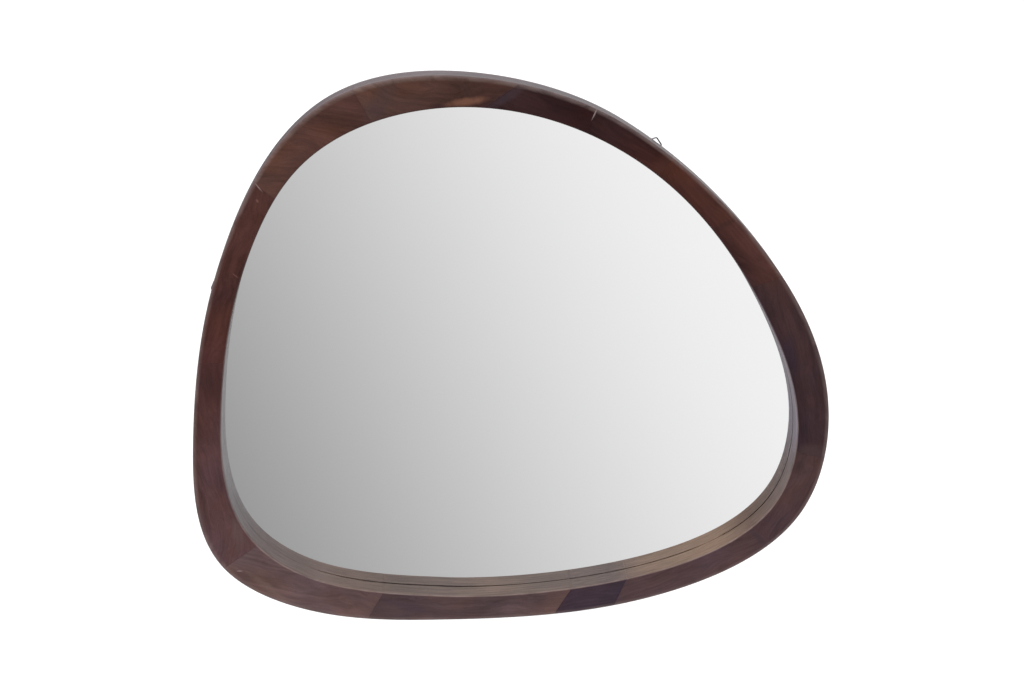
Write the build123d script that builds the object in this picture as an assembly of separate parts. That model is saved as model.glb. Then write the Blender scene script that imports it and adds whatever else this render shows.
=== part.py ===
from build123d import *
import os
from math import acos, atan2, cos, degrees, radians, sin

# Wall mirror: sheet glass set deep inside a free-form frame glued up from solid wood blocks.
# X runs to the right along the wall, Y points into the wall and Z is up, all in millimetres.
# The origin lies on the wall plane, behind the middle of the outline.
# A "height" is a distance from the wall plane towards the room, which is along -Y.

# Frame
FRAME_DEPTH = 35.0
LIP_DEPTH = 25.0            # from the front face back to the foam behind the lip
FRONT_ROUND = 3.0           # rounding of the outer front edge
SIGHT_ROUND = 2.5           # rounding of the inner front edge
BACK_ROUND = 6.0            # soft outer back edge

# Outer outline, anticlockwise from the upper right
OUTER_POINTS = [
    (141, 349), (-35, 410), (-240, 384), (-381, 202),
    (-454, -102), (-426, -313), (-321, -385), (-112, -416),
    (248, -378), (424, -258), (455, -85), (346, 161),
]
# Sight outline, the inner wall of the frame, anticlockwise from the bottom
SIGHT_POINTS = [
    (-107, -372), (214, -343), (392, -222), (411, -130),
    (350, 72), (207, 262), (-66, 373), (-282, 296),
    (-345, 200), (-409, -46), (-385, -259), (-285, -339),
]
# Glued seams between blocks: direction from the centre, and slant of the scarf, in degrees
SEAMS = [
    (19, 0), (55, 0), (74, 0), (92.5, -59), (117.5, 0), (141, 0), (177, 0),
    (216, 0), (241.5, 0), (280.5, -41), (293, -44), (322.5, 0), (340.5, 0),
]

# Dowels across each seam
DOWEL_RADIUS = 4.0
DOWEL_LENGTH = 30.0
DOWEL_FRONT_HEIGHT = 34.0
DOWEL_BACK_HEIGHT = 22.0
GLUE_GAP = 0.05

# Glass, foam strip and backing board, in rebates measured outwards from the sight outline
GLASS_REBATE = 6.0
BOARD_REBATE = 12.5
GLASS_THICKNESS = 4.0
BOARD_THICKNESS = 3.0
FOAM_THICKNESS = 1.5
FOAM_SETBACK = 2.0
FOAM_WIDTH = 3.5
GLASS_CLEARANCE = 1.0
BOARD_CLEARANCE = 0.5

# Screws of the backing board
BOARD_SCREW_COUNT = 14
BOARD_SCREW_LINE = 9.3
BOARD_SCREW_RADIUS = 1.45
BOARD_SCREW_LENGTH = 10.0
BOARD_SCREW_HEAD = (2.8, 1.4)      # radius, height
SCREW_CLEARANCE = 0.25
PILOT_CLEARANCE = 0.02

# Hangers: a strap folded round the bar of a ring, which is wire bent to a blunt D
WIRE_RADIUS = 1.0
RING_BAR = 17.0                    # widths on the wire's centre line, at the bar and at the tip
RING_TIP = 10.0
RING_REACH = 14.0                  # from the bar to the tip
RING_BEND = 2.5
BAR_CLEARANCE = 0.05
STRAP_SHEET = 0.8
STRAP_WIDTH = 9.5
STRAP_SCREW_REACH = 14.0           # from the bar to the screw
STRAP_FOLD = 4.5                   # from the bar to where the two leaves meet
HANGER_SCREW_RADIUS = 1.5
HANGER_SCREW_LENGTH = 12.0
HANGER_SCREW_HEAD = (3.1, 1.9)
# name: middle of the ring's bar (x, z), and the direction the ring points in, in degrees
HANGERS = {
    "left": (-406.3, 114.3, 80),
    "upper": (193.0, 303.6, 110),
}

# Shape of a pan head: share of its height or radius
HEAD_ROUND = 0.5
SLOT_LENGTH = 1.1
SLOT_WIDTH = 0.26
SLOT_DEPTH = 0.5
POINT_RADIUS = 0.15                # of the shank's radius, at the screw's point

# Wall bumpers, placed in the middle of the flat land on the back
BUMPER_RADIUS = 6.0
BUMPER_HEIGHT = 6.0
BUMPER_ROUND = 0.8
BUMPER_DIRECTIONS = [40, 130, 217, 317]

# Heights worked out from the stack
BACK = BUMPER_HEIGHT
FRONT = BACK + FRAME_DEPTH
FOAM_TOP = FRONT - LIP_DEPTH
GLASS_TOP = FOAM_TOP - FOAM_THICKNESS
BOARD_TOP = GLASS_TOP - GLASS_THICKNESS
BOARD_BACK = BOARD_TOP - BOARD_THICKNESS
TO_ROOM = (0, -1, 0)
TO_WALL = (0, 1, 0)

SEAM_INWARD = 140.0         # reach of a seam's cutting plane from the middle of the rail
SEAM_OUTWARD = 260.0

OFFSET_STEPS = 48           # points that carry an outline over to its parallel
CURVE_STEPS = 720           # points that find where an outline crosses a direction


def closed_curve(points):
    return Spline(points, periodic=True)


def points_along(curve, count, distance=0.0):
    """Evenly spread points beside an anticlockwise curve, to its outside."""
    result = []
    for step in range(count):
        place = curve.position_at(step / count)
        along = curve.tangent_at(step / count)
        result.append((place.X + along.Y * distance, place.Y - along.X * distance))
    return result


def parallel_curve(curve, distance):
    return closed_curve(points_along(curve, OFFSET_STEPS, distance))


def radius_at(curve, direction):
    """Distance from the centre to the curve in a direction given in degrees."""
    best_gap = 360.0
    best_radius = 0.0
    for x, z in points_along(curve, CURVE_STEPS):
        gap = abs((degrees(atan2(z, x)) - direction + 180) % 360 - 180)
        if gap < best_gap:
            best_gap = gap
            best_radius = (x * x + z * z) ** 0.5
    return best_radius


def polar(radius, direction):
    return radius * cos(radians(direction)), radius * sin(radians(direction))


def slab(curve, low, high):
    """Solid inside a closed curve, between two heights."""
    face = Plane.XZ.offset(low) * make_face(curve)
    return extrude(face, amount=high - low, dir=TO_ROOM)


def post(x, z, radius, low, high):
    """Round post standing on the wall plane's grid, between two heights."""
    place = Plane(origin=(x, -low, z), x_dir=(1, 0, 0), z_dir=TO_ROOM)
    return place * extrude(Circle(radius), amount=high - low)


OUTER = closed_curve(OUTER_POINTS)
SIGHT = closed_curve(SIGHT_POINTS)


def seam_centre(direction):
    """Middle of the rail where a seam crosses it."""
    middle = (radius_at(OUTER, direction) + radius_at(SIGHT, direction)) / 2
    return polar(middle, direction)


def dowel_solids(extra=0.0):
    """Two dowels through every seam, square to it."""
    solids = []
    for direction, slant in SEAMS:
        x, z = seam_centre(direction)
        across = radians(direction + slant + 90)
        for height in (DOWEL_BACK_HEIGHT, DOWEL_FRONT_HEIGHT):
            place = Plane(origin=(x, -height, z), z_dir=(cos(across), 0, sin(across)))
            length = DOWEL_LENGTH + 2 * extra
            solids.append(place * Cylinder(DOWEL_RADIUS + extra, length))
    return solids


def board_screw_places():
    return points_along(parallel_curve(SIGHT, BOARD_SCREW_LINE), BOARD_SCREW_COUNT)


def hanger_plane(hanger):
    """X towards the ring's tip, Z away from the wood, below the middle of the bar."""
    x, z, direction = HANGERS[hanger]
    toward = radians(direction)
    return Plane(origin=(x, -BACK, z), x_dir=(cos(toward), 0, sin(toward)), z_dir=TO_WALL)


def hanger_screw_place(hanger):
    x, z, direction = HANGERS[hanger]
    back_x, back_z = polar(STRAP_SCREW_REACH, direction)
    return x - back_x, z - back_z


STRAP_TOP = 2 * STRAP_SHEET
BAR_HEIGHT = WIRE_RADIUS + BAR_CLEARANCE + STRAP_SHEET


def frame_ring():
    """The whole wooden ring, before it is divided into its blocks."""
    ring = slab(OUTER, BACK, FRONT) - slab(SIGHT, BACK, FRONT)
    front_edges = ring.edges().group_by(Axis.Y)[0].sort_by(SortBy.LENGTH)
    ring = fillet(front_edges[0], SIGHT_ROUND)
    front_edges = ring.edges().group_by(Axis.Y)[0].sort_by(SortBy.LENGTH)
    ring = fillet(front_edges[-1], FRONT_ROUND)
    back_edges = ring.edges().group_by(Axis.Y)[-1].sort_by(SortBy.LENGTH)
    ring = fillet(back_edges[-1], BACK_ROUND)
    ring -= slab(parallel_curve(SIGHT, GLASS_REBATE), BACK, FOAM_TOP)
    ring -= slab(parallel_curve(SIGHT, BOARD_REBATE), BACK, BOARD_TOP)
    for dowel in dowel_solids(GLUE_GAP):
        ring -= dowel
    pilot = BOARD_SCREW_RADIUS + PILOT_CLEARANCE
    for x, z in board_screw_places():
        ring -= post(x, z, pilot, BACK, BOARD_BACK + BOARD_SCREW_LENGTH + PILOT_CLEARANCE)
    pilot = HANGER_SCREW_RADIUS + PILOT_CLEARANCE
    depth = HANGER_SCREW_LENGTH - STRAP_TOP + PILOT_CLEARANCE
    for hanger in HANGERS:
        x, z = hanger_screw_place(hanger)
        ring -= post(x, z, pilot, BACK, BACK + depth)
    return ring


def seam_line(index):
    """Two points far inside and far outside the rail, on the seam's plane."""
    direction, slant = SEAMS[index % len(SEAMS)]
    x, z = seam_centre(direction)
    inward_x, inward_z = polar(-SEAM_INWARD, direction + slant)
    outward_x, outward_z = polar(SEAM_OUTWARD, direction + slant)
    return (x + inward_x, z + inward_z), (x + outward_x, z + outward_z)


def block_sector(index):
    """Wedge of space that holds one block, from one seam to the next."""
    near_start, far_start = seam_line(index)
    near_end, far_end = seam_line(index + 1)
    face = make_face(Polyline(near_start, far_start, far_end, near_end, close=True))
    return extrude(Plane.XZ * face, amount=FRONT + BUMPER_HEIGHT, dir=TO_ROOM)


def mirror_glass():
    return slab(parallel_curve(SIGHT, GLASS_REBATE - GLASS_CLEARANCE), BOARD_TOP, GLASS_TOP)


def foam_strip():
    outside = parallel_curve(SIGHT, FOAM_SETBACK + FOAM_WIDTH)
    inside = parallel_curve(SIGHT, FOAM_SETBACK)
    return slab(outside, GLASS_TOP, FOAM_TOP) - slab(inside, GLASS_TOP, FOAM_TOP)


def backing_board():
    board = slab(parallel_curve(SIGHT, BOARD_REBATE - BOARD_CLEARANCE), BOARD_BACK, BOARD_TOP)
    for x, z in board_screw_places():
        board -= post(x, z, BOARD_SCREW_RADIUS + SCREW_CLEARANCE, BOARD_BACK, BOARD_TOP)
    return board


def pan_screw(x, z, seat, radius, length, head):
    """Pan-head screw whose head sits at a height and whose shank runs into the wood."""
    head_radius, head_height = head
    top = post(x, z, head_radius, seat - head_height, seat)
    top = fillet(top.edges().group_by(Axis.Y)[-1], head_height * HEAD_ROUND)
    slot_size = (
        head_radius * SLOT_LENGTH, head_radius * SLOT_WIDTH, head_height * SLOT_DEPTH
    )
    slot = Box(*slot_size) + Rot(0, 0, 90) * Box(*slot_size)
    place = Plane(origin=(x, head_height - seat, z), x_dir=(1, 0, 0), z_dir=TO_WALL)
    top -= place * Pos(0, 0, -slot_size[2] / 2) * slot
    shank = post(x, z, radius, seat, seat + length - 2 * radius)
    tip_start = seat + length - 2 * radius
    tip_place = Plane(origin=(x, -tip_start, z), x_dir=(1, 0, 0), z_dir=TO_ROOM)
    tip = tip_place * Pos(0, 0, radius) * Cone(radius, radius * POINT_RADIUS, 2 * radius)
    return top + shank + tip


def hanger_strap(hanger):
    """Sheet strap folded round the bar, two leaves thick, with a rounded end."""
    loop_radius = BAR_HEIGHT
    reach = (STRAP_FOLD ** 2 + (BAR_HEIGHT - STRAP_TOP) ** 2) ** 0.5
    slope = atan2(BAR_HEIGHT - STRAP_TOP, STRAP_FOLD)
    touch = 180 + degrees(slope) - degrees(acos(loop_radius / reach))
    touch_x, touch_z = polar(loop_radius, touch)
    end = STRAP_SCREW_REACH + STRAP_WIDTH / 2
    profile = Polyline(
        (-end, 0), (0, 0), (0, BAR_HEIGHT), (touch_x, BAR_HEIGHT + touch_z),
        (-STRAP_FOLD, STRAP_TOP), (-end, STRAP_TOP), close=True,
    )
    section = make_face(profile) + Pos(0, BAR_HEIGHT) * Circle(loop_radius)
    section -= Pos(0, BAR_HEIGHT) * Circle(WIRE_RADIUS + BAR_CLEARANCE)
    strap = extrude(Plane.XZ * section, amount=STRAP_WIDTH / 2, both=True)
    plan = Pos(-STRAP_SCREW_REACH, 0) * Circle(STRAP_WIDTH / 2)
    tongue = STRAP_SCREW_REACH + loop_radius
    plan += Pos(tongue / 2 - STRAP_SCREW_REACH, 0) * Rectangle(tongue, STRAP_WIDTH)
    strap &= extrude(plan, amount=2 * loop_radius)
    through = Cylinder(HANGER_SCREW_RADIUS + SCREW_CLEARANCE, 4 * STRAP_TOP)
    strap -= Pos(-STRAP_SCREW_REACH, 0, 0) * through
    return hanger_plane(hanger) * strap


def ring_solid(hanger):
    """Round wire bent to a blunt D: a wide bar and two legs that close in to the tip."""
    path = FilletPolyline(
        (0, -RING_BAR / 2), (0, RING_BAR / 2),
        (RING_REACH, RING_TIP / 2), (RING_REACH, -RING_TIP / 2),
        radius=RING_BEND, close=True,
    )
    section = Plane(origin=path @ 0, z_dir=path % 0) * Circle(WIRE_RADIUS)
    ring = sweep(section, path=path)
    return hanger_plane(hanger) * Pos(0, 0, BAR_HEIGHT) * ring


def bumper(direction):
    board_edge = radius_at(parallel_curve(SIGHT, BOARD_REBATE), direction)
    round_start = radius_at(OUTER, direction) - BACK_ROUND
    x, z = polar((round_start + board_edge) / 2, direction)
    disc = post(x, z, BUMPER_RADIUS, 0, BUMPER_HEIGHT)
    return fillet(disc.edges().group_by(Axis.Y)[-1], BUMPER_ROUND)


def save(node, solids):
    shape = solids[0] if len(solids) == 1 else Compound(children=solids)
    export_step(shape, f"parts/{node}.step")


os.makedirs("parts", exist_ok=True)

whole_ring = frame_ring()
for number in range(len(SEAMS)):
    save(f"frame_block_{number + 1:02d}", [whole_ring & block_sector(number)])
save("joint_dowels", dowel_solids())

save("mirror_glass", [mirror_glass()])
save("foam_strip", [foam_strip()])
save("backing_board", [backing_board()])
save("board_screws", [
    pan_screw(x, z, BOARD_BACK, BOARD_SCREW_RADIUS, BOARD_SCREW_LENGTH, BOARD_SCREW_HEAD)
    for x, z in board_screw_places()
])

for name in HANGERS:
    save(f"strap_{name}", [hanger_strap(name)])
    save(f"ring_{name}", [ring_solid(name)])
save("strap_screws", [
    pan_screw(*hanger_screw_place(name), BACK - STRAP_TOP,
              HANGER_SCREW_RADIUS, HANGER_SCREW_LENGTH, HANGER_SCREW_HEAD)
    for name in HANGERS
])
save("wall_bumpers", [bumper(direction) for direction in BUMPER_DIRECTIONS])
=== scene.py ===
import math
import bmesh
import bpy
import numpy as np
from mathutils import Matrix, Vector


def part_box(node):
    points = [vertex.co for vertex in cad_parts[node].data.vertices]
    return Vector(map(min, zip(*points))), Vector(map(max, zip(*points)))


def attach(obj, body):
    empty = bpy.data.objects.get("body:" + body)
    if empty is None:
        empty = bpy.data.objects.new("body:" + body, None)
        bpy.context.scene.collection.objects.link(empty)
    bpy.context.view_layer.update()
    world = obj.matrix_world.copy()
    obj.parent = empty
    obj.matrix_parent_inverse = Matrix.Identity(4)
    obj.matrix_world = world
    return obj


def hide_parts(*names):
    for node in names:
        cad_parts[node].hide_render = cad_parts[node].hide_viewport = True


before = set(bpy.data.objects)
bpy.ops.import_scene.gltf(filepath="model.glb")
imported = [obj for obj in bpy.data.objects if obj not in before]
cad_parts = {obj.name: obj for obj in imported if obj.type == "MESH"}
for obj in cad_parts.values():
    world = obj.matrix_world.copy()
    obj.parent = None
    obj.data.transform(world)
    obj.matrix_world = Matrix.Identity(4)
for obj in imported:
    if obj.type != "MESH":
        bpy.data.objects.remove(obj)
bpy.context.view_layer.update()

# ---------------------------------------------------------------- sizes, in metres
BACK = -0.006                   # the frame's back face, and depths in front of it
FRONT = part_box("frame_block_01")[0][1]
FRONT_ROUND = 0.003
SIGHT_ROUND = 0.0025
BACK_ROUND = 0.006
GLASS_REBATE = 0.006
BOARD_REBATE = 0.0125
LIP_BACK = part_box("foam_strip")[0][1]
BOARD_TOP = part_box("backing_board")[0][1]

STATION_STEP = 0.004            # along the rail
FACE_STEPS = 10                 # across the front face
ROUND_STEPS = 6
SIDE_STEPS = 5                  # down the outer side and the inner wall
SEAM_EASE = 0.00025             # eased edge at each glued seam
CURVE_SAMPLES = 4000
LIP_EDGE = 0.0018               # inner part of the lip, which stands down towards the glass
KEEP_APART = 0.0025             # spacing of the outline points taken from the frame
LEVEL_TOLERANCE = 2e-6
LEAST_SLANT = 0.3               # keeps very slanted cross-sections from growing too long
LEAST_STATIONS = 8
CREASE_ANGLE = 30

# How rubbed the rounded edges are, from 0 to 1
BACK_WEAR = 0.4
FRONT_WEAR = 0.5
# The sight edge gets a painted highlight where it faces upwards, towards the overhead lamp: share at
# mid height, and loss per height
UPWARD_MIDDLE = 0.5
UPWARD_LOSS = 0.9

BLOCKS = sorted(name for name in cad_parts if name.startswith("frame_block_"))


# ---------------------------------------------------------------- outlines of the frame
def node_points(name):
    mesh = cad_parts[name].data
    points = np.empty(len(mesh.vertices) * 3)
    mesh.vertices.foreach_get("co", points)
    return points.reshape(-1, 3)


def wall_points(name, depth):
    """Plan positions of a block's vertices on one level of its outer or inner wall."""
    points = node_points(name)
    level = points[np.abs(points[:, 1] - depth) < LEVEL_TOLERANCE]
    return level[:, [0, 2]]


class ClosedCurve:
    """Smooth closed curve through scattered points of one outline."""

    def __init__(self, points):
        angles = np.arctan2(points[:, 1], points[:, 0])
        ordered = points[np.argsort(angles)]
        kept = [ordered[0]]
        for point in ordered[1:]:
            if np.hypot(*(point - kept[-1])) > KEEP_APART:
                kept.append(point)
        if np.hypot(*(kept[0] - kept[-1])) < KEEP_APART:
            kept.pop()
        knots = np.array(kept + [kept[0]])
        spans = np.hypot(*np.diff(knots, axis=0).T)
        self.places = np.concatenate([[0], np.cumsum(spans)])
        self.length = self.places[-1]
        self.knots = knots
        self.spans = spans
        self.slopes = self.solve_slopes()

    def solve_slopes(self):
        """First derivatives at the knots of the closed cubic spline."""
        count = len(self.spans)
        matrix = np.zeros((count, count))
        right = np.zeros((count, 2))
        steps = np.diff(self.knots, axis=0) / self.spans[:, None]
        for i in range(count):
            before, after = self.spans[i - 1], self.spans[i]
            matrix[i, i - 1] += after
            matrix[i, i] += 2 * (before + after)
            matrix[i, (i + 1) % count] += before
            right[i] = 3 * (after * steps[i - 1] + before * steps[i])
        slopes = np.linalg.solve(matrix, right)
        return np.vstack([slopes, slopes[:1]])

    def at(self, place):
        """Positions at distances along the curve."""
        place = np.mod(np.atleast_1d(place), self.length)
        index = np.clip(np.searchsorted(self.places, place, side="right") - 1, 0, len(self.spans) - 1)
        span = self.spans[index][:, None]
        t = ((place - self.places[index])[:, None]) / span
        p0, p1 = self.knots[index], self.knots[index + 1]
        m0, m1 = self.slopes[index] * span, self.slopes[index + 1] * span
        return (
            (2 * t**3 - 3 * t**2 + 1) * p0 + (t**3 - 2 * t**2 + t) * m0
            + (3 * t**2 - 2 * t**3) * p1 + (t**3 - t**2) * m1
        )

    def outward(self, place):
        """Unit normals that point away from the middle."""
        step = 1e-4
        along = self.at(np.atleast_1d(place) + step) - self.at(np.atleast_1d(place) - step)
        along /= np.hypot(*along.T)[:, None]
        return np.column_stack([along[:, 1], -along[:, 0]])

    def nearest(self, point):
        """Distance along the curve of its point nearest to a given one."""
        places = np.linspace(0, self.length, CURVE_SAMPLES, endpoint=False)
        gaps = np.hypot(*(self.at(places) - point).T)
        return places[np.argmin(gaps)]


OUTER_LEVEL = FRONT + FRONT_ROUND
SIGHT_LEVEL = FRONT + SIGHT_ROUND
outer_curve = ClosedCurve(np.vstack([wall_points(name, OUTER_LEVEL) for name in BLOCKS]))
sight_curve = ClosedCurve(np.vstack([wall_points(name, SIGHT_LEVEL) for name in BLOCKS]))


def end_places(name, depth, curve):
    """Where a block starts and ends along an outline, anticlockwise."""
    points = wall_points(name, depth)
    centre = points.mean(axis=0)
    turn = math.atan2(centre[1], centre[0])
    angles = np.mod(np.arctan2(points[:, 1], points[:, 0]) - turn + math.pi, 2 * math.pi)
    start = curve.nearest(points[np.argmin(angles)])
    end = curve.nearest(points[np.argmax(angles)])
    if end < start:
        end += curve.length
    return start, end


# Tone of the inner wall by direction in degrees: greyer at the sides, warmer at the bottom.
# Partly the thinner stain of the wall, partly painted light: the pale grey-violet at the sides
# is a painted sheen, and the lighter bottom is painted light where the wall faces up.
WALL_TONES_AND_LIGHT = [
    (0, (0.24, 0.21, 0.24)), (12, (0.22, 0.19, 0.22)), (30, (0.060, 0.034, 0.034)),
    (158, (0.060, 0.034, 0.034)), (174, (0.15, 0.13, 0.14)), (190, (0.15, 0.13, 0.14)),
    (205, (0.118, 0.100, 0.107)), (215, (0.112, 0.086, 0.084)), (235, (0.115, 0.080, 0.068)),
    (245, (0.088, 0.064, 0.056)), (255, (0.095, 0.069, 0.061)), (265, (0.120, 0.083, 0.068)),
    (275, (0.093, 0.067, 0.058)), (293, (0.080, 0.059, 0.055)), (300, (0.140, 0.092, 0.068)),
    (315, (0.165, 0.108, 0.076)), (323, (0.105, 0.070, 0.057)), (335, (0.140, 0.108, 0.102)),
    (345, (0.21, 0.182, 0.215)), (360, (0.24, 0.21, 0.24)),
]

# How far the lip's inner edge stands down towards the glass, by direction in degrees
LIP_DROPS = [
    (0, 0.0004), (150, 0.0008), (185, 0.00135), (227, 0.00135), (234, 0.0002), (262, 0.0001),
    (271, 0.0007), (283, 0.0006), (290, 0.0004), (310, 0.0004), (313, 0.0011), (317, 0.0005),
    (330, 0.0002), (360, 0.0004),
]


def by_direction(table, point):
    """Value of a table of (direction, value) rows for a point's direction from the centre."""
    direction = math.degrees(math.atan2(point[1], point[0])) % 360
    turns = [row[0] for row in table]
    values = np.array([row[1] for row in table], dtype=float).reshape(len(table), -1)
    return [float(np.interp(direction, turns, column)) for column in values.T]


# ---------------------------------------------------------------- mesh helpers
def mesh_object(name, vertices, faces, material):
    mesh = bpy.data.meshes.new(name)
    mesh.from_pydata([tuple(v) for v in vertices], [], faces)
    mesh.validate()
    mesh.update()
    piece = bpy.data.objects.new(name, mesh)
    bpy.context.scene.collection.objects.link(piece)
    mesh.materials.append(material)
    return piece


def shade_by_angle(piece, degrees):
    """Smooth faces, with sharp edges where the surface turns by more than the angle."""
    piece.data.shade_smooth()
    piece.data.set_sharp_from_angle(angle=math.radians(degrees))


# What the distance in a row of the rail's cross-section is measured from
FROM_OUTER, FROM_SIGHT, FACE_SHARE, LIP_DOWN = range(4)


def rail_profile():
    """Closed cross-section of the rail: (edge, distance, depth, wear, wall, across, side).

    The distance runs inwards from the outer outline, or outwards from the sight outline, or
    is a share of the face's width. LIP_DOWN marks the part of the lip that stands down
    towards the glass. Wear says how rubbed the outer roundings are and is a painted highlight
    on the sight rounding; wall is 1 on the inner wall, across runs from 0 outside to 1 inside,
    and side is 1 on the outer side.
    """
    rows = []
    for step in range(ROUND_STEPS + 1):
        turn = math.pi / 2 * step / ROUND_STEPS
        inset = BACK_ROUND * (1 - math.sin(turn))
        depth = BACK - BACK_ROUND * (1 - math.cos(turn))
        rows.append((FROM_OUTER, inset, depth, BACK_WEAR, 0, 0, 1))
    side_back, side_front = BACK - BACK_ROUND, FRONT + FRONT_ROUND
    for step in range(1, SIDE_STEPS):
        depth = side_back + (side_front - side_back) * step / SIDE_STEPS
        rows.append((FROM_OUTER, 0.0, depth, 0.0, 0, 0, 1))
    for step in range(ROUND_STEPS + 1):
        turn = math.pi / 2 * step / ROUND_STEPS
        inset = FRONT_ROUND * (1 - math.cos(turn))
        depth = FRONT + FRONT_ROUND * (1 - math.sin(turn))
        rows.append((FROM_OUTER, inset, depth, FRONT_WEAR, 0, 0, 1 - step / ROUND_STEPS))
    for step in range(1, FACE_STEPS):
        share = step / FACE_STEPS
        rows.append((FACE_SHARE, share, FRONT, 0.0, 0, share, 0))
    for step in range(ROUND_STEPS + 1):
        turn = math.pi / 2 * step / ROUND_STEPS
        inset = SIGHT_ROUND * (1 - math.sin(turn))
        depth = FRONT + SIGHT_ROUND * (1 - math.cos(turn))
        # On the sight rounding this is a painted highlight, peaking halfway round
        wear_and_highlight = math.sin(2 * turn) ** 2
        rows.append((FROM_SIGHT, inset, depth, wear_and_highlight, step / ROUND_STEPS, 1, 0))
    for step in range(1, SIDE_STEPS + 1):
        depth = FRONT + SIGHT_ROUND + (LIP_BACK - FRONT - SIGHT_ROUND) * step / SIDE_STEPS
        rows.append((FROM_SIGHT, 0.0, depth, 0.0, 1, 1, 0))
    rows.append((LIP_DOWN, 0.0, LIP_BACK, 0.0, 1, 1, 0))
    rows.append((LIP_DOWN, LIP_EDGE, LIP_BACK, 0.0, 1, 1, 0))
    rows.append((FROM_SIGHT, LIP_EDGE, LIP_BACK, 0.0, 1, 1, 0))
    rows.append((FROM_SIGHT, GLASS_REBATE, LIP_BACK, 0.0, 0, 1, 0))
    rows.append((FROM_SIGHT, GLASS_REBATE, BOARD_TOP, 0.0, 0, 1, 0))
    rows.append((FROM_SIGHT, BOARD_REBATE, BOARD_TOP, 0.0, 0, 1, 0))
    rows.append((FROM_SIGHT, BOARD_REBATE, BACK, 0.0, 0, 1, 0))
    return rows


PROFILE = rail_profile()


def station_points(outer_point, outer_normal, sight_point, sight_normal):
    """Cross-section of the rail on the line between two facing outline points."""
    across = outer_point - sight_point
    width = np.hypot(*across)
    across = across / width
    outer_slant = max(float(across @ outer_normal), LEAST_SLANT)
    sight_slant = max(float(across @ sight_normal), LEAST_SLANT)
    face_start = FRONT_ROUND / outer_slant
    face_end = width - SIGHT_ROUND / sight_slant
    drop = by_direction(LIP_DROPS, sight_point)[0]
    points = []
    for edge, amount, depth, *_ in PROFILE:
        if edge == FROM_OUTER:
            inwards = amount / outer_slant
        elif edge in (FROM_SIGHT, LIP_DOWN):
            inwards = width - amount / sight_slant
            depth += drop if edge == LIP_DOWN else 0.0
        else:
            inwards = face_start + (face_end - face_start) * amount
        place = outer_point - across * inwards
        points.append((place[0], depth, place[1]))
    return points


def block_piece(name, material):
    """One solid block of the frame, swept along the rail from seam to seam."""
    outer_start, outer_end = end_places(name, OUTER_LEVEL, outer_curve)
    sight_start, sight_end = end_places(name, SIGHT_LEVEL, sight_curve)
    count = max(LEAST_STATIONS, round((outer_end - outer_start) / STATION_STEP))
    shares = np.linspace(0, 1, count + 1)
    ease = SEAM_EASE / (outer_end - outer_start)
    shares = np.concatenate([[0], [ease], shares[1:-1], [1 - ease], [1]])
    outer_places = outer_start + (outer_end - outer_start) * shares
    sight_places = sight_start + (sight_end - sight_start) * shares
    stations = [
        station_points(*values)
        for values in zip(
            outer_curve.at(outer_places), outer_curve.outward(outer_places),
            sight_curve.at(sight_places), sight_curve.outward(sight_places),
        )
    ]
    stations[0] = eased(stations[0])
    stations[-1] = eased(stations[-1])
    ring = len(PROFILE)
    vertices = [point for station in stations for point in station]
    faces = []
    for row in range(len(stations) - 1):
        for column in range(ring):
            following = (column + 1) % ring
            low, high = row * ring, (row + 1) * ring
            faces.append((low + column, low + following, high + following, high + column))
    faces.append(tuple(reversed(range(ring))))
    last = (len(stations) - 1) * ring
    faces.append(tuple(range(last, last + ring)))
    piece = mesh_object("block_" + name[-2:], vertices, faces, material)
    # On the sight rounding the painted highlight grows where the edge faces up to the lamp
    wear_and_highlight = [
        row[3] * (upward if row[0] == FROM_SIGHT else 1.0)
        for upward in upward_highlight_share(sight_curve.at(sight_places)) for row in PROFILE
    ]
    set_levels(piece, "wear_and_highlight", wear_and_highlight)
    set_levels(piece, "wall", [row[4] for row in PROFILE] * len(stations))
    set_levels(piece, "across", [row[5] for row in PROFILE] * len(stations))
    set_levels(piece, "side", [row[6] for row in PROFILE] * len(stations))
    set_levels(piece, "along", np.repeat(shares, ring))
    # Wall tone by direction: partly thinner stain, partly painted light and sheen
    tones = [(*by_direction(WALL_TONES_AND_LIGHT, point), 1.0) for point in sight_curve.at(sight_places)]
    set_levels(piece, "wall_tone_and_light", np.repeat(tones, ring, axis=0).ravel(), "FLOAT_COLOR")
    bm = bmesh.new()
    bm.from_mesh(piece.data)
    bmesh.ops.recalc_face_normals(bm, faces=bm.faces)
    bm.to_mesh(piece.data)
    bm.free()
    shade_by_angle(piece, CREASE_ANGLE)
    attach(piece, "mirror")
    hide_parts(name)


def upward_highlight_share(points):
    """How far the inner wall faces upwards at points of the sight outline, from 0 to 1; this sets the
    strength of the painted highlight on the sight edge.
    """
    heights = points[:, 1] / np.hypot(*points.T)
    return np.clip(UPWARD_MIDDLE - UPWARD_LOSS * heights, 0.0, 1.0)


def eased(station):
    """The last cross-section of a block, drawn in a little all round."""
    points = np.array(station)
    middle = points.mean(axis=0)
    inwards = middle - points
    lengths = np.linalg.norm(inwards, axis=1)[:, None]
    return [tuple(p) for p in points + inwards / lengths * SEAM_EASE]


def set_levels(piece, name, values, kind="FLOAT"):
    """Store one value, or one colour, for each vertex."""
    attribute = piece.data.attributes.new(name, kind, "POINT")
    attribute.data.foreach_set("value" if kind == "FLOAT" else "color", values)


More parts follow.
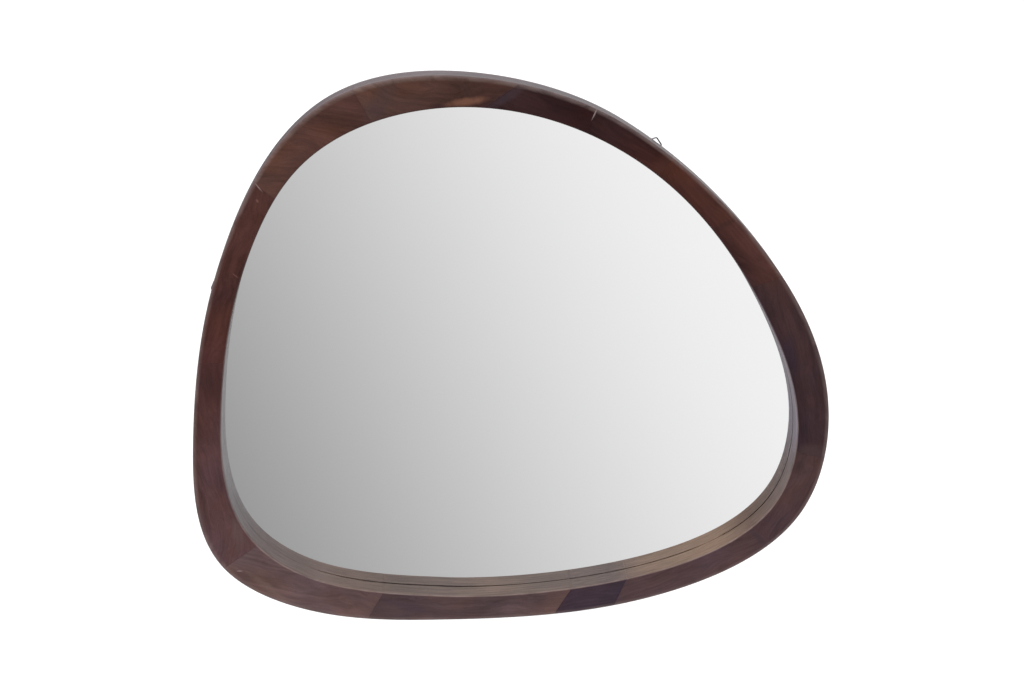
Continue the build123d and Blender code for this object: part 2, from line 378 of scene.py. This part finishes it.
# ---------------------------------------------------------------- shader helpers
class Shader:
    """Builds a node tree: values that are sockets are linked, others are set."""

    def __init__(self, name, tree=None):
        if tree is None:
            self.material = bpy.data.materials.new(name)
            self.material.use_nodes = True
            tree = self.material.node_tree
        tree.nodes.clear()
        self.tree = tree

    def add(self, kind, inputs=None, **settings):
        node = self.tree.nodes.new(kind)
        for key, value in settings.items():
            setattr(node, key, value)
        for key, value in (inputs or {}).items():
            socket = node.inputs[key]
            if isinstance(value, bpy.types.NodeSocket):
                self.tree.links.new(value, socket)
            else:
                socket.default_value = value
        return node

    def math(self, operation, first, second=0.0, third=0.0, clamp=False):
        inputs = {0: first, 1: second, 2: third}
        return self.add("ShaderNodeMath", inputs, operation=operation, use_clamp=clamp).outputs[0]

    def vector(self, operation, first, second=(0, 0, 0)):
        node = self.add("ShaderNodeVectorMath", {0: first, 1: second}, operation=operation)
        return node.outputs["Value" if operation in ("LENGTH", "DOT_PRODUCT") else "Vector"]

    def noise(self, place, scale, detail, roughness):
        inputs = {"Vector": place, "Scale": scale, "Detail": detail, "Roughness": roughness}
        return self.add("ShaderNodeTexNoise", inputs).outputs["Fac"]

    def ramp(self, value, low, high):
        """Black below the low level, rising to white at the high one."""
        node = self.add("ShaderNodeValToRGB", {"Fac": value})
        for element, position, level in zip(node.color_ramp.elements, (low, high), (0.0, 1.0)):
            element.position = position
            element.color = (level, level, level, 1.0)
        return node.outputs["Color"]

    def mix(self, share, first, second, blend="MIX"):
        node = self.add("ShaderNodeMix", data_type="RGBA", blend_type=blend)
        for index, value in ((0, share), (6, first), (7, second)):
            socket = node.inputs[index]
            if isinstance(value, bpy.types.NodeSocket):
                self.tree.links.new(value, socket)
            elif index == 0:
                socket.default_value = value
            else:
                socket.default_value = (*value[:3], 1.0)
        return node.outputs[2]

    def bump(self, height, strength, distance):
        inputs = {"Height": height, "Strength": strength, "Distance": distance}
        return self.add("ShaderNodeBump", inputs).outputs["Normal"]

    def surface(self, inputs):
        shader = self.add("ShaderNodeBsdfPrincipled", inputs)
        output = self.add("ShaderNodeOutputMaterial")
        self.tree.links.new(shader.outputs[0], output.inputs["Surface"])
        return self.material

    def grey(self, value):
        """A grey colour from one value."""
        return self.add("ShaderNodeCombineColor", {0: value, 1: value, 2: value}).outputs[0]

    def here(self):
        return self.add("ShaderNodeTexCoord").outputs["Object"]

    def stretched(self, place, scale):
        return self.vector("MULTIPLY", place, scale)


# ---------------------------------------------------------------- stained wood
# Figure of the wood: frequencies per metre, along the grain and across it
SLOW_WANDER = (5.0, 9.0, 9.0)
QUICK_WANDER = (22.0, 30.0, 30.0)
CLOUDS = (11.0, 38.0, 38.0)
STREAKS = (9.0, 260.0, 260.0)
FIBRES = (40.0, 1500.0, 1500.0)
PORES = (150.0, 2600.0, 2600.0)
BLOTCHES = (13.0, 24.0, 24.0)
SCUFFS_AND_HIGHLIGHT = (25.0, 140.0, 140.0)
RINGS_PER_METRE = 230.0
RAIL_STREAKS = (4.0, 330.0, 1.5)            # along the wall, per metre down it, and their drift

# Where the figure lies, in metres
WANDER_SWINGS = (0.080, 0.010)              # of the grain, slow and quick
SEED_STEP = (0.37, 0.11, 0.19)              # moves each block to its own part of the figure
PITH_OFFSET = 0.06
PITH_SHIFT = (0.030, -0.045, 0.085)
RING_STRETCH = (0.05, 1.0, 1.0)             # rings run nearly straight along the grain

# Share of each scale in the tone, and how much the tone varies
FACE_FIGURE = {"clouds": 0.40, "rings": 0.20, "streaks": 0.22, "fibres": 0.18}
WALL_FIGURE = {"rail": 0.60, "fibres": 0.25, "clouds": 0.15}
FACE_CONTRAST = 0.66
WALL_CONTRAST = 0.58
SEAM_FADE = 0.12                            # share of a block where clouds even out to a seam

# Stain, pores, rubbed edges and the painted highlight on the sight edge
COOL_STAIN = (0.92, 0.98, 1.10)
WARM_STAIN = (1.07, 1.01, 0.92)
EDGE_BAND_TINT = (0.46, 0.48, 0.66)
PORE_SHADE = 0.35
PORE_COVER = 0.5
SIDE_SHEEN_COVER = 0.8
RUB_AND_HIGHLIGHT_LEAST = 0.25
RUB_AND_HIGHLIGHT_VARIES = 0.50
WOOD_BUMP = (0.35, 0.00012)                 # strength, and height in metres

# Outline of a mark: noise per half width, how ragged it is, and its solid middle
MARK_NOISE = 0.7
MARK_RAGGED = 0.8
MARK_CORE = 0.35

WOOD_ROUGHNESS = 0.33
WOOD_SPECULAR_TINT = (0.10, 0.09, 0.09)     # an oiled, dark surface: weak gloss seen from in front

# Colour of the rubbed outer edges, also painted on the sight edge as a highlight
RUBBED_WOOD_AND_HIGHLIGHT = (0.230, 0.175, 0.160)
# Outer side: lighter and more violet than the face, a painted sheen for the grazing gloss of its top
# strip
SIDE_TONE_AND_SHEEN = (0.078, 0.057, 0.068)

# Each block: stain tone at its start and at its end, and how strong the darker bands along
# the inner and the outer edge are. A separate script fitted these tones to the mean colour of
# each face; they were not chosen by hand.
STAINS = {
    "01": ((0.054, 0.021, 0.018), (0.055, 0.018, 0.012), 0.55, 0.00),
    "02": ((0.044, 0.013, 0.009), (0.025, 0.010, 0.010), 0.10, 0.45),
    "03": ((0.023, 0.007, 0.007), (0.032, 0.014, 0.014), 0.00, 0.10),
    "04": ((0.048, 0.021, 0.017), (0.082, 0.040, 0.030), 0.15, 0.00),
    "05": ((0.067, 0.029, 0.023), (0.083, 0.038, 0.028), 0.10, 0.05),
    "06": ((0.065, 0.026, 0.021), (0.065, 0.023, 0.020), 0.10, 0.20),
    "07": ((0.055, 0.021, 0.019), (0.086, 0.044, 0.046), 0.10, 0.00),
    "08": ((0.104, 0.062, 0.060), (0.094, 0.054, 0.051), 0.10, 0.00),
    "09": ((0.061, 0.036, 0.037), (0.091, 0.053, 0.052), 0.10, 0.00),
    "10": ((0.039, 0.022, 0.030), (0.033, 0.021, 0.032), 0.00, 0.00),
    "11": ((0.068, 0.038, 0.040), (0.057, 0.031, 0.034), 0.10, 0.00),
    "12": ((0.058, 0.030, 0.033), (0.054, 0.027, 0.025), 0.10, 0.00),
    "13": ((0.034, 0.017, 0.021), (0.047, 0.022, 0.021), 0.55, 0.05),
}

PALE_GLUE = (0.42, 0.34, 0.33)
TAN_HEARTWOOD = (0.185, 0.082, 0.052)
BLUE_STAIN = (0.052, 0.038, 0.048)
DARK_STREAK = (0.030, 0.014, 0.014)

# Marks on the face: blocks, direction from the centre in degrees, share across the rail from
# its outer edge, heading against the rail in degrees, half length and half width, colour, strength
MARKS = [
    (("02", "03"), 74.0, 0.20, 82, 0.0110, 0.0012, PALE_GLUE, 0.50),
    (("05", "06"), 141.0, 0.25, 74, 0.0085, 0.0011, PALE_GLUE, 0.35),
    (("06",), 143.2, 0.45, 60, 0.0034, 0.0022, (0.200, 0.090, 0.075), 0.45),
    (("06",), 158.3, 0.75, 68, 0.0070, 0.0012, (0.200, 0.090, 0.080), 0.40),
    (("08",), 217.9, 0.24, 50, 0.0050, 0.0010, PALE_GLUE, 0.75),
    (("07",), 212.0, 0.80, -32, 0.0320, 0.0110, (0.105, 0.064, 0.064), 0.55),
    (("08",), 219.0, 0.12, -39, 0.0240, 0.0080, (0.085, 0.044, 0.045), 0.50),
    (("04",), 99.2, 0.80, -3, 0.0330, 0.0068, TAN_HEARTWOOD, 0.62),
    (("04",), 104.8, 0.90, -20, 0.0120, 0.0050, DARK_STREAK, 0.60),
    (("03", "04"), 91.0, 0.45, 31, 0.0420, 0.0080, BLUE_STAIN, 0.34),
    (("04",), 95.5, 0.80, 31, 0.0200, 0.0060, DARK_STREAK, 0.55),
    (("04", "05"), 114.5, 0.55, 35, 0.0400, 0.0170, (0.046, 0.030, 0.034), 0.40),
    (("01",), 35.8, 0.50, 82, 0.0260, 0.0050, DARK_STREAK, 0.40),
    (("13",), 341.0, 0.45, 88, 0.0300, 0.0190, (0.054, 0.031, 0.031), 0.70),
    (("02",), 55.5, 0.50, 88, 0.0300, 0.0190, (0.054, 0.020, 0.015), 0.60),
    (("01",), 54.0, 0.50, 88, 0.0300, 0.0080, (0.046, 0.016, 0.012), 0.50),
    (("13",), 2.0, 0.75, 5, 0.0500, 0.0120, (0.028, 0.017, 0.026), 0.50),
    (("12", "11"), 321.5, 0.50, 80, 0.0260, 0.0060, (0.036, 0.022, 0.030), 0.50),
    (("09",), 247.5, 0.55, 2, 0.0500, 0.0100, (0.048, 0.032, 0.044), 0.50),
    (("08",), 224.0, 0.25, 0, 0.0500, 0.0080, (0.150, 0.095, 0.080), 0.40),
    (("03",), 75.5, 0.80, 70, 0.0200, 0.0090, (0.022, 0.009, 0.010), 0.40),
]

# Blocks whose board was laid with the grain off the rail: heading in degrees from +X
LAID_ACROSS = {"04": -8, "05": -10, "07": 93, "08": -20, "09": -3}


def grain_place(s, here, heading, seed):
    """Place in the board: X along the grain, which wanders a little, Y and Z across it."""
    turn = (0.0, math.radians(heading), 0.0)
    mapped = s.add("ShaderNodeMapping", {"Vector": here, "Rotation": turn}).outputs[0]
    grain = s.vector("ADD", mapped, tuple(step * seed for step in SEED_STEP))
    wanders = [
        s.noise(s.stretched(grain, scale), 1.0, 2.0, 0.5) for scale in (SLOW_WANDER, QUICK_WANDER)
    ]
    swings = [
        s.math("MULTIPLY", s.math("SUBTRACT", wander, 0.5), swing)
        for wander, swing in zip(wanders, WANDER_SWINGS)
    ]
    swing = s.math("ADD", *swings)
    return s.vector("ADD", grain, s.add("ShaderNodeCombineXYZ", {"Y": swing, "Z": swing}).outputs[0])


def spread(s, value, low, high):
    """Stretch the part of a noise between two levels to run from 0 to 1."""
    node = s.add("ShaderNodeMapRange", {"Value": value, "From Min": low, "From Max": high})
    return node.outputs[0]


def mark_share(s, here, mark):
    """How much of a mark shows: 1 in its middle, 0 outside its ellipse."""
    x, z, heading, half_length, half_width, _, strength = mark
    turn = (0.0, math.radians(heading), 0.0)
    moved = s.vector("SUBTRACT", here, (x, FRONT, z))
    mapped = s.add("ShaderNodeMapping", {"Vector": moved, "Rotation": turn}).outputs[0]
    scaled = s.stretched(mapped, (1 / half_length, 0.0, 1 / half_width))
    ragged = s.math("MULTIPLY", s.noise(here, MARK_NOISE / half_width, 3.0, 0.6), MARK_RAGGED)
    shift = s.math("SUBTRACT", ragged, MARK_RAGGED / 2)
    radius = s.math("ADD", s.vector("LENGTH", scaled), shift)
    share = s.math("SUBTRACT", 1.0, spread(s, radius, MARK_CORE, 1.0))
    return s.math("MULTIPLY", share, strength)


def figure_noise(s, bent, scale, detail, roughness, low, high):
    """One scale of the figure, spread to run from 0 to 1."""
    return spread(s, s.noise(s.stretched(bent, scale), 1.0, detail, roughness), low, high)


def weighted_sum(s, values, weights):
    total = None
    for key, weight in weights.items():
        part = s.math("MULTIPLY", values[key], weight)
        total = part if total is None else s.math("ADD", total, part)
    return total


def contrasted(s, value, contrast):
    """A grey factor around 1 from a value between 0 and 1."""
    inputs = {"Value": value, "To Min": 1 - contrast, "To Max": 1 + contrast}
    return s.grey(s.add("ShaderNodeMapRange", inputs).outputs[0])


def growth_rings(s, bent, seed):
    """Rings of uneven width round a pith that lies off the board."""
    _, step_y, step_z = SEED_STEP
    pith_place = (0.0, step_y * seed - PITH_OFFSET, step_z * seed + PITH_SHIFT[seed % 3])
    pith = s.vector("SUBTRACT", bent, pith_place)
    radius = s.vector("LENGTH", s.stretched(pith, RING_STRETCH))
    inputs = {"X": s.math("MULTIPLY", radius, RINGS_PER_METRE), "Y": float(seed)}
    place = s.add("ShaderNodeCombineXYZ", inputs).outputs[0]
    return spread(s, s.noise(place, 1.0, 3.0, 0.6), 0.30, 0.70)


def wood_figure(s, bent, along, seed):
    """Rings, clouds, streaks, fibres and pores of one block, each from 0 to 1."""
    clouds = figure_noise(s, bent, CLOUDS, 3.0, 0.55, 0.28, 0.72)
    from_end = s.math("MINIMUM", along, s.math("SUBTRACT", 1.0, along))
    fade = s.math("DIVIDE", from_end, SEAM_FADE, clamp=True)
    pores = figure_noise(s, bent, PORES, 2.0, 0.5, 0.30, 0.38)
    return {
        "rings": growth_rings(s, bent, seed),
        "clouds": s.math("MULTIPLY_ADD", s.math("SUBTRACT", clouds, 0.5), fade, 0.5),
        "streaks": figure_noise(s, bent, STREAKS, 3.0, 0.6, 0.28, 0.72),
        "fibres": figure_noise(s, bent, FIBRES, 3.0, 0.6, 0.25, 0.75),
        "pores": s.math("SUBTRACT", 1.0, pores),
    }


def face_colour(s, here, bent, level, figure, shade, stain, marks):
    """The stained front face, with its edge bands, marks and pores."""
    first, last, inner_band, outer_band = stain
    colour = s.mix(1.0, s.mix(level["along"], first, last), shade, "MULTIPLY")
    # Stain taken up unevenly: redder and more violet patches
    blotch = figure_noise(s, bent, BLOTCHES, 2.0, 0.5, 0.32, 0.68)
    colour = s.mix(1.0, colour, s.mix(blotch, COOL_STAIN, WARM_STAIN), "MULTIPLY")
    # Darker, more violet bands along the two edges of the face
    for band, low, high in ((inner_band, 0.50, 0.95), (outer_band, 0.50, 0.05)):
        near = s.math("MULTIPLY", spread(s, level["across"], low, high), band)
        colour = s.mix(near, colour, s.mix(1.0, colour, EDGE_BAND_TINT, "MULTIPLY"))
    for mark in marks:
        colour = s.mix(mark_share(s, here, mark), colour, mark[5])
    in_pore = tuple(v * PORE_SHADE for v in first)
    return s.mix(s.math("MULTIPLY", figure["pores"], PORE_COVER), colour, in_pore)


def wall_colour(s, here, level, figure, seed):
    """The inner wall, where the stain is thinner and streaks follow the rail; its tone by direction
    is partly painted light and sheen.
    """
    depth = s.add("ShaderNodeSeparateXYZ", {"Vector": here}).outputs["Y"]
    along_rate, depth_rate, drift = RAIL_STREAKS
    place = s.add("ShaderNodeCombineXYZ", {
        "X": s.math("MULTIPLY", level["along"], along_rate),
        "Y": s.math("MULTIPLY_ADD", depth, depth_rate, s.math("MULTIPLY", figure["clouds"], drift)),
        "Z": float(seed),
    }).outputs[0]
    rail = spread(s, s.noise(place, 1.0, 4.0, 0.6), 0.28, 0.72)
    mixed = weighted_sum(s, {**figure, "rail": rail}, WALL_FIGURE)
    tone = s.add("ShaderNodeAttribute", attribute_name="wall_tone_and_light").outputs["Color"]
    return s.mix(1.0, tone, contrasted(s, mixed, WALL_CONTRAST), "MULTIPLY")


def stained_wood(name, heading, stain, seed, marks):
    """Dark-stained solid wood whose grain runs along a heading, in degrees from +X."""
    s = Shader(name)
    here = s.here()
    bent = grain_place(s, here, heading, seed)
    level = {
        key: s.add("ShaderNodeAttribute", attribute_name=key).outputs["Fac"]
        for key in ("wear_and_highlight", "wall", "side", "across", "along")
    }
    figure = wood_figure(s, bent, level["along"], seed)
    shade = contrasted(s, weighted_sum(s, figure, FACE_FIGURE), FACE_CONTRAST)
    colour = face_colour(s, here, bent, level, figure, shade, stain, marks)
    # Outer side painted lighter and more violet: a painted sheen
    side = s.mix(1.0, SIDE_TONE_AND_SHEEN, shade, "MULTIPLY")
    colour = s.mix(s.math("MULTIPLY", level["side"], SIDE_SHEEN_COVER), colour, side)
    # Inner wall colour: partly thinner stain, partly painted light and sheen
    wall_and_light = wall_colour(s, here, level, figure, seed)
    colour = s.mix(spread(s, level["wall"], 0.15, 0.85), colour, wall_and_light)
    # Rubbed edges, with a painted highlight along the sight rounding where it faces up
    scuff_and_highlight_noise = figure_noise(s, bent, SCUFFS_AND_HIGHLIGHT, 4.0, 0.65, 0.34, 0.66)
    rubbed_and_highlight = s.math("MULTIPLY", s.math("MULTIPLY_ADD", scuff_and_highlight_noise, RUB_AND_HIGHLIGHT_VARIES, RUB_AND_HIGHLIGHT_LEAST), level["wear_and_highlight"])
    colour = s.mix(rubbed_and_highlight, colour, RUBBED_WOOD_AND_HIGHLIGHT)
    rough = s.math("ADD", WOOD_ROUGHNESS, s.math("MULTIPLY", figure["streaks"], 0.10))
    rough = s.math("ADD", rough, s.math("MULTIPLY", figure["pores"], 0.15))
    height = s.math("SUBTRACT", s.math("MULTIPLY", figure["fibres"], 0.6), figure["pores"])
    height = s.math("ADD", height, s.math("MULTIPLY", figure["rings"], 0.3))
    return s.surface({
        "Base Color": colour, "Roughness": rough, "Specular IOR Level": 0.5,
        "Specular Tint": (*WOOD_SPECULAR_TINT, 1.0), "Normal": s.bump(height, *WOOD_BUMP),
    })


def block_heading(name):
    """Direction in which the block's grain runs: along its chord, unless laid across."""
    if name[-2:] in LAID_ACROSS:
        return LAID_ACROSS[name[-2:]]
    start, end = end_places(name, OUTER_LEVEL, outer_curve)
    first, last = outer_curve.at(start)[0], outer_curve.at(end)[0]
    return math.degrees(math.atan2(last[1] - first[1], last[0] - first[0]))


def curve_point(curve, direction):
    """Point of an outline in a direction from the centre, in degrees."""
    places = np.linspace(0, curve.length, CURVE_SAMPLES, endpoint=False)
    points = curve.at(places)
    turns = np.degrees(np.arctan2(points[:, 1], points[:, 0])) - direction
    return points[np.argmin(np.abs((turns + 180) % 360 - 180))]


def marks_on(block):
    """The marks of one block, as (x, z, heading, half length, half width, colour, strength)."""
    rows = []
    for blocks, direction, share, tilt, half_length, half_width, colour, strength in MARKS:
        if block in blocks:
            outer, inner = curve_point(outer_curve, direction), curve_point(sight_curve, direction)
            x, z = outer + (inner - outer) * share
            heading = direction + 90 + tilt
            rows.append((float(x), float(z), heading, half_length, half_width, colour, strength))
    return rows


def build_frame():
    for index, name in enumerate(BLOCKS):
        block = name[-2:]
        heading = block_heading(name)
        material = stained_wood(
            "stained_wood_" + block, heading, STAINS[block], index + 1, marks_on(block)
        )
        block_piece(name, material)


# ---------------------------------------------------------------- other materials
MIRROR_REFLECTANCE = 0.93
REFLECTANCE_SWING = 0.004
MIRROR_HAZE = 0.020
FOAM_TONES = ((0.006, 0.005, 0.005), (0.020, 0.017, 0.016))
BOARD_TONES = ((0.150, 0.082, 0.042), (0.330, 0.200, 0.110))
BOARD_CLUMP = (0.200, 0.115, 0.062)
BOARD_STAIN = (0.150, 0.090, 0.052)
BOARD_FLECK = (0.42, 0.29, 0.17)
SCREEN_PITCH = 0.0016           # of the woven imprint on the board
ZINC = (0.62, 0.61, 0.58)
DARK_STEEL = (0.20, 0.19, 0.22)
TARNISH = (0.23, 0.19, 0.15)
CLOUDED_METAL = 0.62            # brightness of a clouded patch of metal
RUBBER_TONES = ((0.018, 0.018, 0.018), (0.11, 0.105, 0.10))
BEECH_TONES = ((0.48, 0.31, 0.17), (0.66, 0.47, 0.29))


def silvered_glass():
    s = Shader("silvered_glass")
    haze = s.noise(s.here(), 9.0, 5.0, 0.6)
    smear = s.noise(s.stretched(s.here(), (14.0, 14.0, 60.0)), 1.0, 4.0, 0.6)
    rough = s.math("MULTIPLY", s.math("MULTIPLY", spread(s, haze, 0.45, 0.80), smear), MIRROR_HAZE)
    brighter = (MIRROR_REFLECTANCE + REFLECTANCE_SWING,) * 3
    tint = s.mix(haze, brighter, (MIRROR_REFLECTANCE - REFLECTANCE_SWING,) * 3)
    return s.surface({"Base Color": tint, "Metallic": 1.0, "Roughness": rough})


def black_foam():
    s = Shader("black_foam")
    cells = s.noise(s.here(), 2200.0, 3.0, 0.6)
    colour = s.mix(cells, *FOAM_TONES)
    return s.surface({
        "Base Color": colour, "Roughness": 0.9, "Specular IOR Level": 0.2,
        "Normal": s.bump(cells, 0.6, 0.0003),
    })


def hardboard():
    """Pressed fibre board with the woven imprint of its screen side."""
    s = Shader("hardboard")
    here = s.here()
    fibres = s.noise(s.stretched(here, (700.0, 700.0, 700.0)), 1.0, 5.0, 0.65)
    clumps = s.noise(here, 26.0, 4.0, 0.6)
    flecks = s.ramp(s.noise(here, 900.0, 2.0, 0.5), 0.60, 0.70)
    colour = s.mix(fibres, *BOARD_TONES)
    colour = s.mix(s.math("MULTIPLY", clumps, 0.5), colour, BOARD_CLUMP)
    stains = spread(s, s.noise(here, 4.5, 5.0, 0.62), 0.42, 0.72)
    colour = s.mix(s.math("MULTIPLY", stains, 0.40), colour, BOARD_STAIN)
    colour = s.mix(s.math("MULTIPLY", flecks, 0.35), colour, BOARD_FLECK)
    parts = s.add("ShaderNodeSeparateXYZ", {"Vector": here})
    waves = [
        s.math("SINE", s.math("MULTIPLY", parts.outputs[axis], 2 * math.pi / SCREEN_PITCH))
        for axis in ("X", "Z")
    ]
    weave = s.math("MULTIPLY", *waves)
    height = s.math("ADD", s.math("MULTIPLY", weave, 0.35), fibres)
    return s.surface({
        "Base Color": colour, "Roughness": 0.82, "Specular IOR Level": 0.25,
        "Normal": s.bump(height, 0.5, 0.0002),
    })


def plated_steel(name, colour, rough):
    s = Shader(name)
    here = s.here()
    cloud = s.noise(here, 160.0, 4.0, 0.6)
    scratch = s.noise(s.stretched(here, (90.0, 2400.0, 900.0)), 1.0, 3.0, 0.6)
    stain = s.ramp(s.noise(here, 420.0, 4.0, 0.65), 0.55, 0.78)
    darker = tuple(v * CLOUDED_METAL for v in colour)
    tint = s.mix(cloud, darker, colour)
    tint = s.mix(s.math("MULTIPLY", stain, 0.35), tint, TARNISH)
    level = s.math("ADD", rough, s.math("MULTIPLY", scratch, 0.18))
    return s.surface({
        "Base Color": tint, "Metallic": 1.0, "Roughness": level,
        "Normal": s.bump(scratch, 0.15, 0.00004),
    })


def rubber():
    s = Shader("rubber")
    here = s.here()
    grain = s.noise(here, 1400.0, 3.0, 0.6)
    dust = s.ramp(s.noise(here, 130.0, 5.0, 0.7), 0.5, 0.8)
    colour = s.mix(s.math("MULTIPLY", dust, 0.4), *RUBBER_TONES)
    return s.surface({
        "Base Color": colour, "Roughness": 0.62, "Specular IOR Level": 0.4,
        "Normal": s.bump(grain, 0.3, 0.0001),
    })


def beech():
    s = Shader("beech")
    streaks = s.noise(s.stretched(s.here(), (300.0, 300.0, 60.0)), 1.0, 3.0, 0.6)
    colour = s.mix(streaks, *BEECH_TONES)
    return s.surface({"Base Color": colour, "Roughness": 0.6, "Normal": s.bump(streaks, 0.2, 0.0001)})


def dress(node, material):
    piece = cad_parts[node]
    piece.data.materials.clear()
    piece.data.materials.append(material)
    for polygon in piece.data.polygons:
        polygon.material_index = 0


def dress_frame_nodes():
    steel = plated_steel("zinc_steel", ZINC, 0.30)
    ring_steel = plated_steel("ring_steel", DARK_STEEL, 0.34)
    dress("mirror_glass", silvered_glass())
    dress("foam_strip", black_foam())
    dress("backing_board", hardboard())
    dress("joint_dowels", beech())
    dress("wall_bumpers", rubber())
    dress("board_screws", steel)
    dress("strap_screws", steel)
    for name in ("left", "upper"):
        dress("strap_" + name, steel)
        dress("ring_" + name, ring_steel)


# ---------------------------------------------------------------- studio
FLOOR_LEVEL = -1.1
FLOOR_HALF = 30.0
FLOOR_TONES = ((0.90, 0.90, 0.90), (0.93, 0.93, 0.93))


def pale_floor():
    s = Shader("pale_floor")
    tone = s.noise(s.here(), 0.6, 2.0, 0.5)
    colour = s.mix(tone, *FLOOR_TONES)
    return s.surface({"Base Color": colour, "Roughness": 0.95, "Specular IOR Level": 0.1})


def build_floor():
    corners = [(-1, -1), (1, -1), (1, 1), (-1, 1)]
    vertices = [(x * FLOOR_HALF, y * FLOOR_HALF, FLOOR_LEVEL) for x, y in corners]
    floor = mesh_object("floor", vertices, [(0, 1, 2, 3)], pale_floor())
    floor.visible_glossy = False


# What polished surfaces see of the room: white above and to the right, grey at the lower left.
# The level follows a cubic of the distance along one tilted direction, on the display scale,
# and rises again beyond the grey part. A separate script fitted the tilt and the cubic.
ROOM_TILT = math.radians(27)
ROOM_REACH = (-0.45, 0.075)
ROOM_CUBIC = (-2.275, -2.432, 0.415, 0.932)
SOFT_LEVEL = 0.45               # what lights the matt surfaces
SUN_STRENGTH = 3.2
SUN_ANGLE = 70
SUN_TOWARDS = Vector((0.25, 0.35, -1.0))
DISPLAY_OFFSET = 0.055          # display scale to linear light
DISPLAY_POWER = 2.4


def build_world():
    world = bpy.data.worlds.new("studio")
    bpy.context.scene.world = world
    world.use_nodes = True
    s = Shader("studio", world.node_tree)
    direction = s.add("ShaderNodeTexCoord").outputs["Generated"]
    along = s.vector("DOT_PRODUCT", direction, (math.cos(ROOM_TILT), 0.0, math.sin(ROOM_TILT)))
    turned = s.math("SUBTRACT", 2 * ROOM_REACH[0], along)
    along = s.math("MINIMUM", s.math("MAXIMUM", along, turned), ROOM_REACH[1])
    shade = ROOM_CUBIC[0]
    for factor in ROOM_CUBIC[1:]:
        shade = s.math("MULTIPLY_ADD", shade, along, factor)
    scale = 1 + DISPLAY_OFFSET
    lifted = s.math("MULTIPLY_ADD", shade, 1 / scale, DISPLAY_OFFSET / scale)
    shade = s.math("POWER", lifted, DISPLAY_POWER)
    shade = s.math("DIVIDE", shade, MIRROR_REFLECTANCE)
    path = s.add("ShaderNodeLightPath").outputs
    colour = s.mix(path["Is Glossy Ray"], (SOFT_LEVEL,) * 3, s.grey(shade))
    colour = s.mix(path["Is Camera Ray"], colour, (1.0, 1.0, 1.0))
    background = s.add("ShaderNodeBackground", {"Color": colour, "Strength": 1.0})
    output = s.add("ShaderNodeOutputWorld")
    s.tree.links.new(background.outputs[0], output.inputs["Surface"])


def build_light():
    light = bpy.data.lights.new("overhead", "SUN")
    light.energy = SUN_STRENGTH
    light.angle = math.radians(SUN_ANGLE)
    lamp = bpy.data.objects.new("overhead", light)
    lamp.rotation_euler = SUN_TOWARDS.to_track_quat("-Z", "Y").to_euler()
    bpy.context.scene.collection.objects.link(lamp)


# Camera: in front of the mirror, a little to its left, looking down at it. A separate script
# fitted its place and its angles.
CAMERA_PLACE = Vector((-0.1286, FRONT - 1.7976, 0.8392))
CAMERA_RIGHT = Vector((0.9976, -0.0693, 0.0)).normalized()
CAMERA_DIP = math.radians(23.875)
LENS = 50.0
SENSOR = 36.0


def build_camera():
    level = Vector((0, 0, 1)).cross(CAMERA_RIGHT)
    forward = level * math.cos(CAMERA_DIP) - Vector((0, 0, 1)) * math.sin(CAMERA_DIP)
    up = CAMERA_RIGHT.cross(forward)
    axes = Matrix((CAMERA_RIGHT, up, -forward)).transposed()
    data = bpy.data.cameras.new("camera")
    data.lens = LENS
    data.sensor_width = SENSOR
    camera = bpy.data.objects.new("camera", data)
    camera.matrix_world = Matrix.Translation(CAMERA_PLACE) @ axes.to_4x4()
    bpy.context.scene.collection.objects.link(camera)
    bpy.context.scene.camera = camera


build_frame()
dress_frame_nodes()
build_floor()
build_world()
build_light()
build_camera()
bpy.context.scene.view_settings.view_transform = "Standard"
